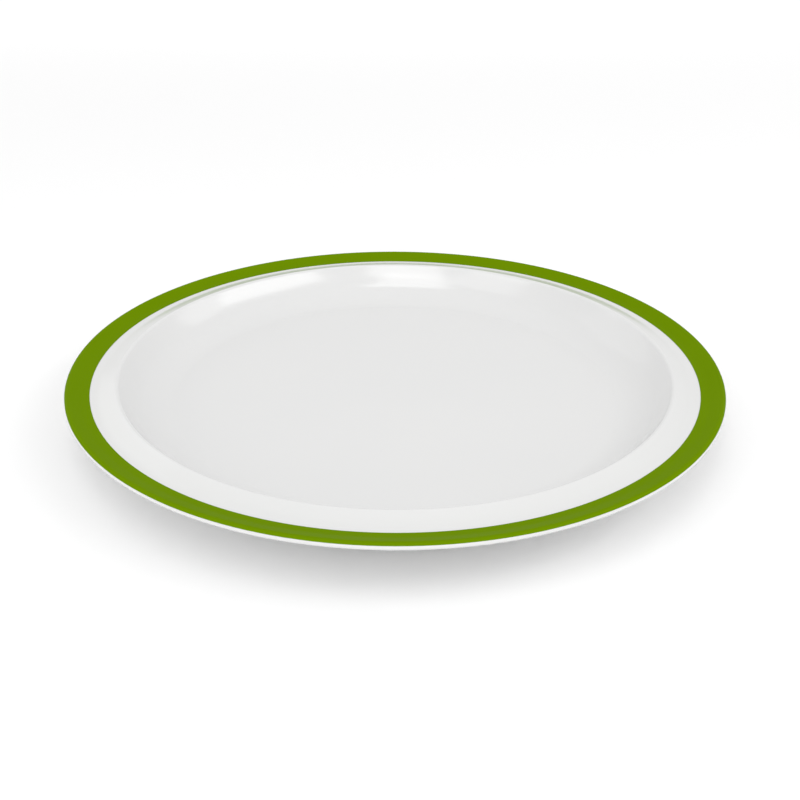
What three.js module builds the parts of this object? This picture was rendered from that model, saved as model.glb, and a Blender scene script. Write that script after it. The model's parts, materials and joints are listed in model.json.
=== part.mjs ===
// A china dinner plate, in millimetres, +Z up, standing on its foot ring.
// The origin is on the plate's axis, at the height of the surface that the foot ring stands on.
//
// A plate is one fired porcelain body with skins fused onto it: clear glaze over the whole face and back,
// clear glaze inside the foot ring, and a band of green enamel fired on top of the glaze at the edge.
// The ring that it stands on is wiped clean of glaze, so that the plate doesn't stick to the kiln shelf.

import * as THREE from 'three';

// Driving dimensions
const PLATE_RADIUS = 135;
const LIP_HEIGHT = 24;          // top of the rounded lip above the table
const LIP_RADIUS = 1.4;         // rounding of the lip, over and under
const LIP_THICKNESS = 3;        // straight height of the edge before it is rounded
const VALLEY_RADIUS = 125.4;    // where the rim dips lowest, and where the green band begins
const VALLEY_DEPTH = 3.05;      // that corner, before rounding, below the top of the lip
const VERGE_RADIUS = 114.4;     // the corner where the rim turns down into the well
const VERGE_RISE = 0.25;        // that corner, before rounding, above the top of the lip
const BELLY_RADIUS = 111.45;    // the corner halfway down the wall, where it starts to flatten
const BELLY_RISE = 9.95;        // that corner, before rounding, above the floor of the well
const WELL_RADIUS = 102.2;      // the corner between the wall and the flat floor of the well
const FLOOR_HEIGHT = 9.45;      // eating surface of the well above the table
const FLOOR_THICKNESS = 4.8;
const RIM_THICKNESS = 3.2;
const BACK_SHOULDER_RADIUS = 115.9;   // the corner between the back of the rim and the outside of the wall
const BACK_SHOULDER_HEIGHT = 18.2;
const HEEL_RADIUS = 102.5;      // the corner between the outside of the wall and the underside
const FOOT_OUTER_RADIUS = 90.4;
const FOOT_WIDTH = 4.4;
const FOOT_SPLAY = 1.1;         // how much wider each side of the foot ring is at its root
const GLAZE_LINE = 1.3;         // height at which the glaze stops on both sides of the foot ring
const GLAZE_THICKNESS = 0.3;
const ENAMEL_THICKNESS = 0.12;

// How far the corners of the outline are rounded
const COVE_ROUNDING = 20.9;
const BELLY_ROUNDING = 41.5;
const VERGE_ROUNDING = 1.5;
const VALLEY_ROUNDING = 14;
const SHOULDER_ROUNDING = 9;
const HEEL_ROUNDING = 8;
const FOOT_ROUNDING = 0.9;

// Fineness of the solids
const SEGMENTS = 60;            // facets round the plate, a multiple of four so that it is exactly 2 radii wide

const point = (radius, height) => new THREE.Vector2(radius, height);

// Rounds the corner between two straight stretches with an arc of the given radius.
function rounded(before, corner, after, radius, steps) {
  const towardsBefore = before.clone().sub(corner).normalize();
  const towardsAfter = after.clone().sub(corner).normalize();
  const halfAngle = Math.acos(towardsBefore.dot(towardsAfter)) / 2;
  const bisector = towardsBefore.clone().add(towardsAfter).normalize();
  const centre = corner.clone().addScaledVector(bisector, radius / Math.sin(halfAngle));
  const start = corner.clone().addScaledVector(towardsBefore, radius / Math.tan(halfAngle)).sub(centre);
  const turn = (Math.PI - 2 * halfAngle) * Math.sign(towardsAfter.cross(towardsBefore));
  const origin = point(0, 0);
  return Array.from({ length: steps + 1 }, (_, i) =>
    start.clone().rotateAround(origin, (turn * i) / steps).add(centre));
}

// The point at a given height on the straight stretch between two points.
function atHeight(a, b, height) {
  return a.clone().lerp(b, (height - a.y) / (b.y - a.y));
}

// The same outline moved sideways by a thickness that fades to nothing at the chosen ends.
// Positive thickness moves it to the left of its direction of travel, which is outwards from the body.
function offset(outline, thickness, fadeStart, fadeEnd) {
  return outline.map((p, i) => {
    const first = i === 0;
    const last = i === outline.length - 1;
    if ((first && fadeStart) || (last && fadeEnd)) return p.clone();
    const along = point(0, 0);
    if (!first) along.add(p.clone().sub(outline[i - 1]).normalize());
    if (!last) along.add(outline[i + 1].clone().sub(p).normalize());
    along.normalize();
    const moved = point(p.x - along.y * thickness, p.y + along.x * thickness);
    if (p.x === 0) moved.set(0, p.y + Math.sign(moved.y - p.y) * Math.abs(thickness));
    return moved;
  });
}

// Corners of the glazed outside, from the middle of the face, over the lip, to the middle of the underside
const underside = FLOOR_HEIGHT - FLOOR_THICKNESS;
const footInnerRadius = FOOT_OUTER_RADIUS - FOOT_WIDTH;
const rimSlope = Math.atan2(VALLEY_DEPTH, PLATE_RADIUS - LIP_RADIUS - VALLEY_RADIUS);
const lipCorner = LIP_HEIGHT - LIP_RADIUS + LIP_RADIUS * Math.tan(Math.PI / 4 + rimSlope / 2);
const corners = {
  faceCentre: point(0, FLOOR_HEIGHT),
  well: point(WELL_RADIUS, FLOOR_HEIGHT),
  belly: point(BELLY_RADIUS, FLOOR_HEIGHT + BELLY_RISE),
  verge: point(VERGE_RADIUS, LIP_HEIGHT + VERGE_RISE),
  valley: point(VALLEY_RADIUS, LIP_HEIGHT - VALLEY_DEPTH),
  lipTop: point(PLATE_RADIUS, lipCorner),
  lipUnder: point(PLATE_RADIUS, lipCorner - LIP_THICKNESS),
  rimUnder: point(VALLEY_RADIUS, LIP_HEIGHT - VALLEY_DEPTH - RIM_THICKNESS),
  shoulder: point(BACK_SHOULDER_RADIUS, BACK_SHOULDER_HEIGHT),
  heel: point(HEEL_RADIUS, underside),
  footRootOuter: point(FOOT_OUTER_RADIUS + FOOT_SPLAY, underside),
  footOuter: point(FOOT_OUTER_RADIUS, 0),
  footInner: point(footInnerRadius, 0),
  footRootInner: point(footInnerRadius - FOOT_SPLAY, underside),
  backCentre: point(0, underside),
};
const c = corners;

// Round stretches of the outline. The last number is how many straight steps each one has.
const cove = rounded(c.faceCentre, c.well, c.belly, COVE_ROUNDING, 5);
const belly = rounded(c.well, c.belly, c.verge, BELLY_ROUNDING, 2);
const verge = rounded(c.belly, c.verge, c.valley, VERGE_ROUNDING, 4);
const valley = rounded(c.verge, c.valley, c.lipTop, VALLEY_ROUNDING, 2);
const lipTop = rounded(c.valley, c.lipTop, c.lipUnder, LIP_RADIUS, 4);
const lipUnder = rounded(c.lipTop, c.lipUnder, c.rimUnder, LIP_RADIUS, 3);
const shoulder = rounded(c.rimUnder, c.shoulder, c.heel, SHOULDER_ROUNDING, 3);
const heel = rounded(c.shoulder, c.heel, c.footRootOuter, HEEL_ROUNDING, 2);
const footEdge = [
  ...rounded(c.footRootOuter, c.footOuter, c.footInner, FOOT_ROUNDING, 2),
  ...rounded(c.footOuter, c.footInner, c.footRootInner, FOOT_ROUNDING, 2),
];

// The glazed outside in four stretches. The band begins at the middle of the valley and ends on the
// outer side of the lip, so that its edges fall on points of the glaze.
const bandStart = 1;
const bandEnd = 3;
const whiteFace = [c.faceCentre, ...cove, ...belly, ...verge, ...valley.slice(0, bandStart)];
const bandSeat = [...valley.slice(bandStart), ...lipTop.slice(0, bandEnd + 1)];
const back = [
  ...lipTop.slice(bandEnd + 1), ...lipUnder, c.rimUnder, ...shoulder, ...heel,
  c.footRootOuter, atHeight(c.footRootOuter, c.footOuter, GLAZE_LINE),
];
const recess = [
  atHeight(c.footInner, c.footRootInner, GLAZE_LINE), c.footRootInner, c.backCentre,
];

// Outlines of the glaze's outside and of the porcelain under it
const glazedFace = [...whiteFace, ...bandSeat, ...back];
const bareFace = offset(glazedFace, -GLAZE_THICKNESS, false, true);
const bareRecess = offset(recess, -GLAZE_THICKNESS, true, false);
const enamelTop = offset(bandSeat, ENAMEL_THICKNESS, true, true);

// Turns an outline round the plate's axis into one closed solid.
// A closed outline returns to its first point; an open one starts and ends on the axis.
function turned(name, outline, material) {
  const geometry = new THREE.LatheGeometry(outline, SEGMENTS);
  geometry.rotateX(Math.PI / 2);
  const mesh = new THREE.Mesh(geometry, material);
  mesh.name = name;
  return mesh;
}

const bisque = new THREE.MeshStandardMaterial({ color: 0xe8e3d8, roughness: 0.8, metalness: 0 });
const clearGlaze = new THREE.MeshStandardMaterial({ color: 0xeeeeec, roughness: 0.08, metalness: 0 });
const greenEnamel = new THREE.MeshStandardMaterial({ color: 0x6a8b00, roughness: 0.16, metalness: 0 });

const plate = new THREE.Group();
plate.name = 'dinner_plate';
plate.add(turned('porcelain_body', [...bareFace, ...footEdge, ...bareRecess].reverse(), bisque));
plate.add(turned('face_glaze', [...bareFace, ...[...glazedFace].reverse().slice(1)], clearGlaze));
plate.add(turned('foot_recess_glaze', [...[...recess].reverse(), ...bareRecess.slice(1)], clearGlaze));
plate.add(turned('rim_band', [...bandSeat, ...enamelTop.reverse().slice(1)], greenEnamel));

export default plate;
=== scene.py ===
import json
import math

import bmesh
import bpy
from mathutils import Matrix, Vector


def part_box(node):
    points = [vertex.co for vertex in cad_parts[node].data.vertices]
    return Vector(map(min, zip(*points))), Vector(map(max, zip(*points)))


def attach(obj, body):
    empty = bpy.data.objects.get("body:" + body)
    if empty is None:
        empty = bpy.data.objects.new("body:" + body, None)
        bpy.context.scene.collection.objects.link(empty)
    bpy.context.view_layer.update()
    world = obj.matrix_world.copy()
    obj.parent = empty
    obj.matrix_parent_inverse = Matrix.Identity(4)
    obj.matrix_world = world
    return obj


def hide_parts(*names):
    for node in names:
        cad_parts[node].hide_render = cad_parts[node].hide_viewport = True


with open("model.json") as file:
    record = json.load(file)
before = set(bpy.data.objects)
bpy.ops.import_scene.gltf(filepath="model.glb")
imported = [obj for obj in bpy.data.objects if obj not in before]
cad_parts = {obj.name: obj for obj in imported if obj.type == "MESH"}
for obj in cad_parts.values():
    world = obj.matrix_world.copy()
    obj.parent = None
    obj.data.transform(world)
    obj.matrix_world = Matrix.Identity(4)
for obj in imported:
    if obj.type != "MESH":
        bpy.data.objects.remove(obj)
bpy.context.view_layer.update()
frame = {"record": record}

# A china dinner plate, turned about +Z, in metres. The frame gives the heights and widths that the
# packed plate has; the shape between them is set by the named values below.

MM = 0.001
face_low, face_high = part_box("face_glaze")
band_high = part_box("rim_band")[1]
mounts = {mount["name"]: Vector(mount["pos_m"]) for mount in frame["record"]["mounts"]}

ENAMEL_THICKNESS = 0.12 * MM
GLAZE_THICKNESS = 0.3 * MM
PLATE_RADIUS = face_high.x
LIP_HEIGHT = band_high.z - ENAMEL_THICKNESS
GLAZE_LINE = face_low.z                   # the glaze stops here on both sides of the foot ring
FLOOR_HEIGHT = mounts["well_floor"].z
FOOT_MIDDLE = mounts["foot_face"].xy.length

LIP_RADIUS = 1.4 * MM
LIP_THICKNESS = 3.0 * MM
VALLEY_RADIUS = PLATE_RADIUS - 9.6 * MM   # the rim dips lowest here, and the green band begins
VALLEY_DEPTH = 3.05 * MM
VERGE_RADIUS = PLATE_RADIUS - 20.6 * MM   # the rim turns down into the well here
VERGE_RISE = 0.25 * MM
BELLY_RADIUS = PLATE_RADIUS - 23.55 * MM  # halfway down the wall, which flattens from here on
BELLY_RISE = 9.95 * MM                    # above the floor of the well
WELL_RADIUS = PLATE_RADIUS - 32.8 * MM    # the wall runs out into the floor of the well here
RIM_THICKNESS = 3.2 * MM
HEEL_RADIUS = PLATE_RADIUS - 32.5 * MM    # the outside of the wall meets the underside here
UNDERSIDE = FLOOR_HEIGHT - 4.8 * MM       # the height of the back of the well
SHOULDER_RADIUS = PLATE_RADIUS - 19.1 * MM   # the back of the rim turns down into the wall here
SHOULDER_HEIGHT = LIP_HEIGHT - 5.8 * MM
COVE_ROUNDING = 20.9 * MM
BELLY_ROUNDING = 41.5 * MM
VERGE_ROUNDING = 1.5 * MM
VALLEY_ROUNDING = 14 * MM
RIM_BACK_ROUNDING = 20 * MM
SHOULDER_ROUNDING = 9 * MM
HEEL_ROUNDING = 8 * MM
FOOT_ROOT_ROUNDING = 1.2 * MM
FOOT_ROUNDING = 0.9 * MM                  # of the ring's two edges at the table
BAND_WRAP = math.radians(62)              # how far the band wraps over the lip
BAND_EDGE_SOFTNESS = 0.4                  # rounding of the band's edges, in shares of its thickness
FOOT_HALF_WIDTH = 2.2 * MM                # at the table
FOOT_SPLAY = 1.1 * MM                     # how much wider each side of the ring is at its root

WHEEL_STEPS = 192                         # facets round the plate
MERGE = 0.01 * MM                         # points closer than this are one


# ---------------------------------------------------------------- turning on the wheel

def deselect_objects():
    bpy.ops.object.select_all(action="DESELECT")


def select_vertices(mesh_object, wanted):
    """In edit mode, selects exactly the vertices for which wanted(place) is true."""
    bpy.ops.mesh.select_mode(type="VERT")
    bpy.ops.mesh.select_all(action="DESELECT")
    mesh = bmesh.from_edit_mesh(mesh_object.data)
    for vertex in mesh.verts:
        if wanted(vertex.co):
            vertex.select = True
    mesh.select_flush(True)
    bmesh.update_edit_mesh(mesh_object.data)


def select_faces(mesh_object, wanted):
    """In edit mode, selects exactly the faces for which wanted(centre, normal) is true."""
    bpy.ops.mesh.select_mode(type="FACE")
    bpy.ops.mesh.select_all(action="DESELECT")
    mesh = bmesh.from_edit_mesh(mesh_object.data)
    for face in mesh.faces:
        face.select = wanted(face.calc_center_median(), face.normal)
    mesh.select_flush_mode()
    bmesh.update_edit_mesh(mesh_object.data)


def draw_outline(name, corners):
    """Draws a section through the plate on the XZ plane, corner by corner, and rounds its corners.

    Each corner is (radius, height, rounding radius, steps in the rounding)."""
    places = [Vector((radius, 0, height)) for radius, height, _, _ in corners]
    deselect_objects()
    bpy.ops.mesh.primitive_plane_add(size=MM, location=(0, 0, 0))
    outline = bpy.context.object
    outline.name = name
    bpy.ops.object.mode_set(mode="EDIT")
    bpy.ops.mesh.select_all(action="SELECT")
    bpy.ops.mesh.merge(type="CENTER")
    bpy.ops.transform.translate(value=places[0])
    for here, there in zip(places, places[1:]):
        bpy.ops.mesh.extrude_region_move(TRANSFORM_OT_translate={"value": there - here})
    bends = zip(places, places[1:], places[2:], corners[1:])
    for before, corner, after, (_, _, rounding, steps) in bends:
        if rounding:
            half_angle = (before - corner).angle(after - corner) / 2
            select_vertices(outline, lambda place: (place - corner).length < MERGE)
            bpy.ops.mesh.bevel(
                offset_type="OFFSET", offset=rounding / math.tan(half_angle),
                segments=steps, affect="VERTICES", profile=0.5)
    return outline


def turn(outline):
    """Spins a closed outline round the plate's axis into a solid whose faces point outwards."""
    bpy.ops.mesh.select_all(action="SELECT")
    bpy.ops.mesh.spin(steps=WHEEL_STEPS, angle=2 * math.pi, center=(0, 0, 0), axis=(0, 0, 1))
    bpy.ops.mesh.select_all(action="SELECT")
    bpy.ops.mesh.remove_doubles(threshold=MERGE)
    bpy.ops.mesh.normals_make_consistent(inside=False)
    bpy.ops.object.mode_set(mode="OBJECT")


def finish_piece(piece, node, material, smooth_angle=50):
    """Smooths a piece, gives it its finish and has it stand for its CAD node."""
    deselect_objects()
    piece.select_set(True)
    bpy.context.view_layer.objects.active = piece
    bpy.ops.object.shade_smooth_by_angle(angle=math.radians(smooth_angle))
    piece.data.materials.clear()
    piece.data.materials.append(material)
    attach(piece, "root")
    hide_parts(node)


# ---------------------------------------------------------------- the outline of the plate

def foot_side(height, side):
    """The foot ring's outer side (+1) or inner side (-1) at a height: its radius, and that height."""
    splay = FOOT_SPLAY * height / UNDERSIDE
    return FOOT_MIDDLE + side * (FOOT_HALF_WIDTH + splay), height


def rim_middle(radius):
    """The height of the middle of the rim's thickness, between the valley and the lip."""
    inwards = (PLATE_RADIUS - radius) / (PLATE_RADIUS - VALLEY_RADIUS)
    return LIP_HEIGHT - RIM_THICKNESS / 2 - inwards * VALLEY_DEPTH


def glazed_outside():
    """From the middle of the face, over the lip, to the glaze line on the outer side of the foot."""
    slope = math.atan2(VALLEY_DEPTH, PLATE_RADIUS - LIP_RADIUS - VALLEY_RADIUS)
    lip_corner = LIP_HEIGHT - LIP_RADIUS + LIP_RADIUS * math.tan(math.pi / 4 + slope / 2)
    valley_height = LIP_HEIGHT - VALLEY_DEPTH
    return [
        (0, FLOOR_HEIGHT, 0, 0),
        (WELL_RADIUS, FLOOR_HEIGHT, COVE_ROUNDING, 20),
        (BELLY_RADIUS, FLOOR_HEIGHT + BELLY_RISE, BELLY_ROUNDING, 8),
        (VERGE_RADIUS, LIP_HEIGHT + VERGE_RISE, VERGE_ROUNDING, 10),
        (VALLEY_RADIUS, valley_height, VALLEY_ROUNDING, 8),
        (PLATE_RADIUS, lip_corner, LIP_RADIUS, 8),
        (PLATE_RADIUS, lip_corner - LIP_THICKNESS, LIP_RADIUS, 8),
        (VALLEY_RADIUS, valley_height - RIM_THICKNESS, RIM_BACK_ROUNDING, 6),
        (SHOULDER_RADIUS, SHOULDER_HEIGHT, SHOULDER_ROUNDING, 10),
        (HEEL_RADIUS, UNDERSIDE, HEEL_ROUNDING, 8),
        (*foot_side(UNDERSIDE, 1), FOOT_ROOT_ROUNDING, 4),
        (*foot_side(GLAZE_LINE, 1), 0, 0),
    ]


def glazed_recess():
    """From the glaze line on the inner side of the foot to the middle of the underside."""
    return [
        (*foot_side(GLAZE_LINE, -1), 0, 0),
        (*foot_side(UNDERSIDE, -1), FOOT_ROOT_ROUNDING, 4),
        (0, UNDERSIDE, 0, 0),
    ]


def pared(corners, depth):
    """The outline of what lies under a skin of the given depth, which thins to nothing at the foot."""
    moved = []
    for index, (radius, height, rounding, steps) in enumerate(corners):
        here = Vector((radius, height))
        before = Vector(corners[max(index - 1, 0)][:2])
        after = Vector(corners[min(index + 1, len(corners) - 1)][:2])
        if radius == 0:
            inwards = -1 if after.x > 0 else 1
            moved.append((0, height + inwards * depth, 0, 0))
        elif before == here or after == here:
            moved.append((radius, height, 0, 0))
        else:
            arriving = (here - before).normalized()
            leaving = (after - here).normalized()
            outwards = Vector((-arriving.y - leaving.y, arriving.x + leaving.x))
            here -= outwards * (2 * depth / outwards.length_squared)
            hollow = 1 if arriving.cross(leaving) > 0 else -1
            moved.append((*here, rounding + hollow * depth, steps))
    return moved


# ---------------------------------------------------------------- materials

class Value:
    """A number that changes over a surface. Arithmetic on it adds Math nodes."""

    def __init__(self, shader, socket):
        self.shader = shader
        self.socket = socket

    def _math(self, operation, first, second):
        return self.shader.value("ShaderNodeMath", {"operation": operation}, {0: first, 1: second})

    def __add__(self, other):
        return self._math("ADD", self, other)

    def __radd__(self, other):
        return self._math("ADD", other, self)

    def __rmul__(self, other):
        return self._math("MULTIPLY", other, self)


class Finish:
    """A material being mixed: one Principled shader and the patterns that feed it."""

    def __init__(self, name, colour, roughness, ior, specular=0.5):
        self.material = bpy.data.materials.new(name)
        self.material.use_nodes = True
        self.tree = self.material.node_tree
        self.shader = self.tree.nodes["Principled BSDF"]
        self.shader.inputs["Base Color"].default_value = (*colour, 1)
        self.shader.inputs["Roughness"].default_value = roughness
        self.shader.inputs["IOR"].default_value = ior
        self.shader.inputs["Specular IOR Level"].default_value = specular
        self.place = self.node("ShaderNodeTexCoord", {}, {}).outputs["Object"]

    def node(self, kind, settings, sockets):
        """Adds a node: its settings first, then the values or links of its sockets."""
        node = self.tree.nodes.new(kind)
        for setting, value in settings.items():
            setattr(node, setting, value)
        for key, value in sockets.items():
            if isinstance(value, Value):
                value = value.socket
            if isinstance(value, bpy.types.NodeSocket):
                self.tree.links.new(value, node.inputs[key])
            else:
                node.inputs[key].default_value = value
        return node

    def value(self, kind, settings, sockets):
        """Adds a node whose first output is a number."""
        return Value(self, self.node(kind, settings, sockets).outputs[0])

    def noise(self, size, detail=2.0):
        """Cloudy noise, 0 to 1, with lumps about the given size across."""
        sockets = {"Vector": self.place, "Scale": 1 / size, "Detail": detail}
        return self.value("ShaderNodeTexNoise", {}, sockets)

    def blend(self, factor, first, second):
        """A colour between two colours."""
        sockets = {0: factor, 6: (*first, 1), 7: (*second, 1)}
        return self.node("ShaderNodeMix", {"data_type": "RGBA"}, sockets).outputs[2]

    def feed(self, socket, value):
        if isinstance(value, Value):
            value = value.socket
        self.tree.links.new(value, self.shader.inputs[socket])

    def bump(self, height, depth):
        """Relief whose height runs from 0 to 1 over the given depth."""
        sockets = {"Height": height, "Distance": depth, "Strength": 1.0}
        self.feed("Normal", self.node("ShaderNodeBump", {}, sockets).outputs["Normal"])


def white_glaze():
    finish = Finish("clear_glaze_over_white", (0.73, 0.73, 0.73), 0.1, 1.6, specular=0.75)
    clouds = finish.noise(60 * MM)
    finish.feed("Base Color", finish.blend(clouds, (0.706, 0.708, 0.706), (0.726, 0.724, 0.719)))
    finish.feed("Roughness", 0.12 + 0.06 * finish.noise(9 * MM, detail=4))
    finish.bump(finish.noise(35 * MM, detail=1) + 0.02 * finish.noise(1.5 * MM), 0.02 * MM)
    return finish.material


def bare_porcelain():
    finish = Finish("bare_porcelain", (0.7, 0.68, 0.63), 0.7, 1.5)
    grit = finish.noise(0.5 * MM, detail=6)
    finish.feed("Base Color", finish.blend(grit, (0.62, 0.60, 0.55), (0.76, 0.74, 0.69)))
    finish.feed("Roughness", 0.6 + 0.3 * grit)
    finish.bump(grit, 0.03 * MM)
    return finish.material


def green_enamel():
    finish = Finish("green_enamel", (0.137, 0.24, 0.0), 0.2, 1.5, specular=0.003)
    clouds = finish.noise(25 * MM, detail=3)
    finish.feed("Base Color", finish.blend(clouds, (0.127, 0.225, 0.0), (0.136, 0.238, 0.001)))
    finish.feed("Roughness", 0.2 + 0.08 * finish.noise(4 * MM, detail=4))
    finish.bump(finish.noise(3 * MM, detail=3), 0.006 * MM)
    return finish.material


# ---------------------------------------------------------------- the pieces

glaze = white_glaze()
bisque = bare_porcelain()
enamel = green_enamel()


def make_body():
    """The porcelain under the glaze, and the bare ring that the plate stands on."""
    foot = [(*foot_side(0, side), FOOT_ROUNDING, 6) for side in (1, -1)]
    outside = pared(glazed_outside(), GLAZE_THICKNESS)
    piece = draw_outline("porcelain", outside + foot + pared(glazed_recess(), GLAZE_THICKNESS))
    turn(piece)
    return piece


def make_face_glaze():
    """The glaze over the face, the lip and the back."""
    outside = glazed_outside()
    under = pared(outside, GLAZE_THICKNESS)[-2::-1]
    piece = draw_outline("face_glaze_skin", outside + under)
    turn(piece)
    return piece


def make_recess_glaze():
    """The glaze inside the foot ring."""
    recess = glazed_recess()
    under = pared(recess, GLAZE_THICKNESS)
    piece = draw_outline("foot_recess_glaze_skin", recess[::-1] + under[1:])
    turn(piece)
    return piece


def make_rim_band(face_glaze):
    """The enamel is a copy of the glaze that it lies on, thickened, with its edges softened."""
    deselect_objects()
    face_glaze.select_set(True)
    bpy.context.view_layer.objects.active = face_glaze
    bpy.ops.object.duplicate()
    piece = bpy.context.object
    piece.name = "rim_band_enamel"
    bpy.ops.object.mode_set(mode="EDIT")
    lowest_tilt = math.cos(BAND_WRAP)
    select_faces(piece, lambda centre, normal: (
        centre.xy.length < VALLEY_RADIUS
        or centre.z < rim_middle(centre.xy.length)
        or normal.z < lowest_tilt))
    bpy.ops.mesh.delete(type="FACE")
    bpy.ops.object.mode_set(mode="OBJECT")
    solidify = piece.modifiers.new("thickness", "SOLIDIFY")
    solidify.thickness = ENAMEL_THICKNESS
    solidify.offset = 1
    bpy.ops.object.modifier_apply(modifier=solidify.name)
    bevel = piece.modifiers.new("soft_edges", "BEVEL")
    bevel.width = ENAMEL_THICKNESS * BAND_EDGE_SOFTNESS
    bevel.segments = 2
    bevel.limit_method = "ANGLE"
    bevel.angle_limit = math.radians(60)
    bpy.ops.object.modifier_apply(modifier=bevel.name)
    return piece


body = make_body()
face_glaze = make_face_glaze()
recess_glaze = make_recess_glaze()
rim_band = make_rim_band(face_glaze)
finish_piece(body, "porcelain_body", bisque)
finish_piece(face_glaze, "face_glaze", glaze)
finish_piece(recess_glaze, "foot_recess_glaze", glaze)
finish_piece(rim_band, "rim_band", enamel)


# ---------------------------------------------------------------- table, light and camera

def make_table():
    deselect_objects()
    bpy.ops.mesh.primitive_plane_add(size=8, location=(0, 2, 0))
    table = bpy.context.object
    table.name = "table"
    finish = Finish("pale_table", (0.95, 0.95, 0.95), 0.9, 1.45, specular=0)
    table.data.materials.append(finish.material)


def make_softbox(name, direction, distance, width, height, brightness, roll=0, aim=(0, 0, 0)):
    """A rectangular light that faces the aim. Its place is given from the middle of the plate.

    Brightness is its radiance, and the roll is in degrees."""
    light = bpy.data.lights.new(name, "AREA")
    light.shape = "RECTANGLE"
    light.size = width
    light.size_y = height
    light.energy = brightness * width * height * math.pi
    lamp = bpy.data.objects.new(name, light)
    place = Vector(direction).normalized() * distance
    lamp.matrix_world = (
        Matrix.Translation(place)
        @ (place - Vector(aim)).to_track_quat("Z", "Y").to_matrix().to_4x4()
        @ Matrix.Rotation(math.radians(roll), 4, "Z"))
    bpy.context.scene.collection.objects.link(lamp)


def make_sky(brightness):
    world = bpy.data.worlds.new("studio")
    world.use_nodes = True
    background = world.node_tree.nodes["Background"]
    background.inputs["Color"].default_value = (1, 1, 1, 1)
    background.inputs["Strength"].default_value = brightness
    bpy.context.scene.world = world


def make_camera():
    """A 50 mm lens on a 36 mm sensor, half a metre in front of the plate and looking down at it."""
    eye = Vector((0, -423.5, 224.45)) * MM
    aim = Vector((2.0, 10.0, 0)) * MM
    tilt = math.radians(0.3)
    camera = bpy.data.cameras.new("camera")
    camera.lens = 50
    camera.sensor_width = 36
    camera.clip_start = 10 * MM
    rig = bpy.data.objects.new("camera", camera)
    rig.matrix_world = (
        Matrix.Translation(eye)
        @ (aim - eye).to_track_quat("-Z", "Y").to_matrix().to_4x4()
        @ Matrix.Rotation(tilt, 4, "Z"))
    bpy.context.scene.collection.objects.link(rig)
    bpy.context.scene.camera = rig


make_table()
make_sky(0.78)
for softbox in (
    # name, direction from the plate, distance, width, height, brightness, roll
    ("overhead_far_front", (-0.08, -1.35, 1), 1.7, 0.70, 0.50, 0.6),
    ("overhead_front", (-0.08, -0.85, 1), 1.5, 0.70, 0.50, 1.6),
    ("overhead", (-0.08, -0.35, 1), 1.2, 0.45, 0.55, 1.6),
    ("left_front_key", (-0.75, -0.5, 1), 1.4, 0.60, 0.70, 0.6),
    ("right_key", (1.05, -0.35, 1), 1.5, 1.10, 0.50, 2.0, -17),
    ("right_back_key", (1.45, 0.45, 1), 1.8, 0.70, 0.50, 0.8),
    ("low_front_fill", (0, -1, 0.15), 1.5, 1.80, 0.50, 1.0),
    ("low_left_fill", (-1, 0, 0.3), 1.5, 1.50, 0.60, 0.35),
    ("low_right_fill", (1, 0, 0.3), 1.5, 1.50, 0.60, 0.3),
    ("front_left_fill", (-0.8, -0.7, 0.6), 1.5, 0.90, 0.80, 0.55),
    ("back_left_fill", (-0.8, 0.7, 0.6), 1.5, 0.90, 0.80, 0.25),
):
    make_softbox(*softbox)
# This one has its back to the plate, and only keeps the far side of the table bright.
make_softbox("far_table_light", (0, 1.3, 0.9), 1.58, 1.8, 0.6, 1.2, aim=(0, 2.07, 0))
make_camera()
bpy.context.scene.view_settings.view_transform = "Standard"
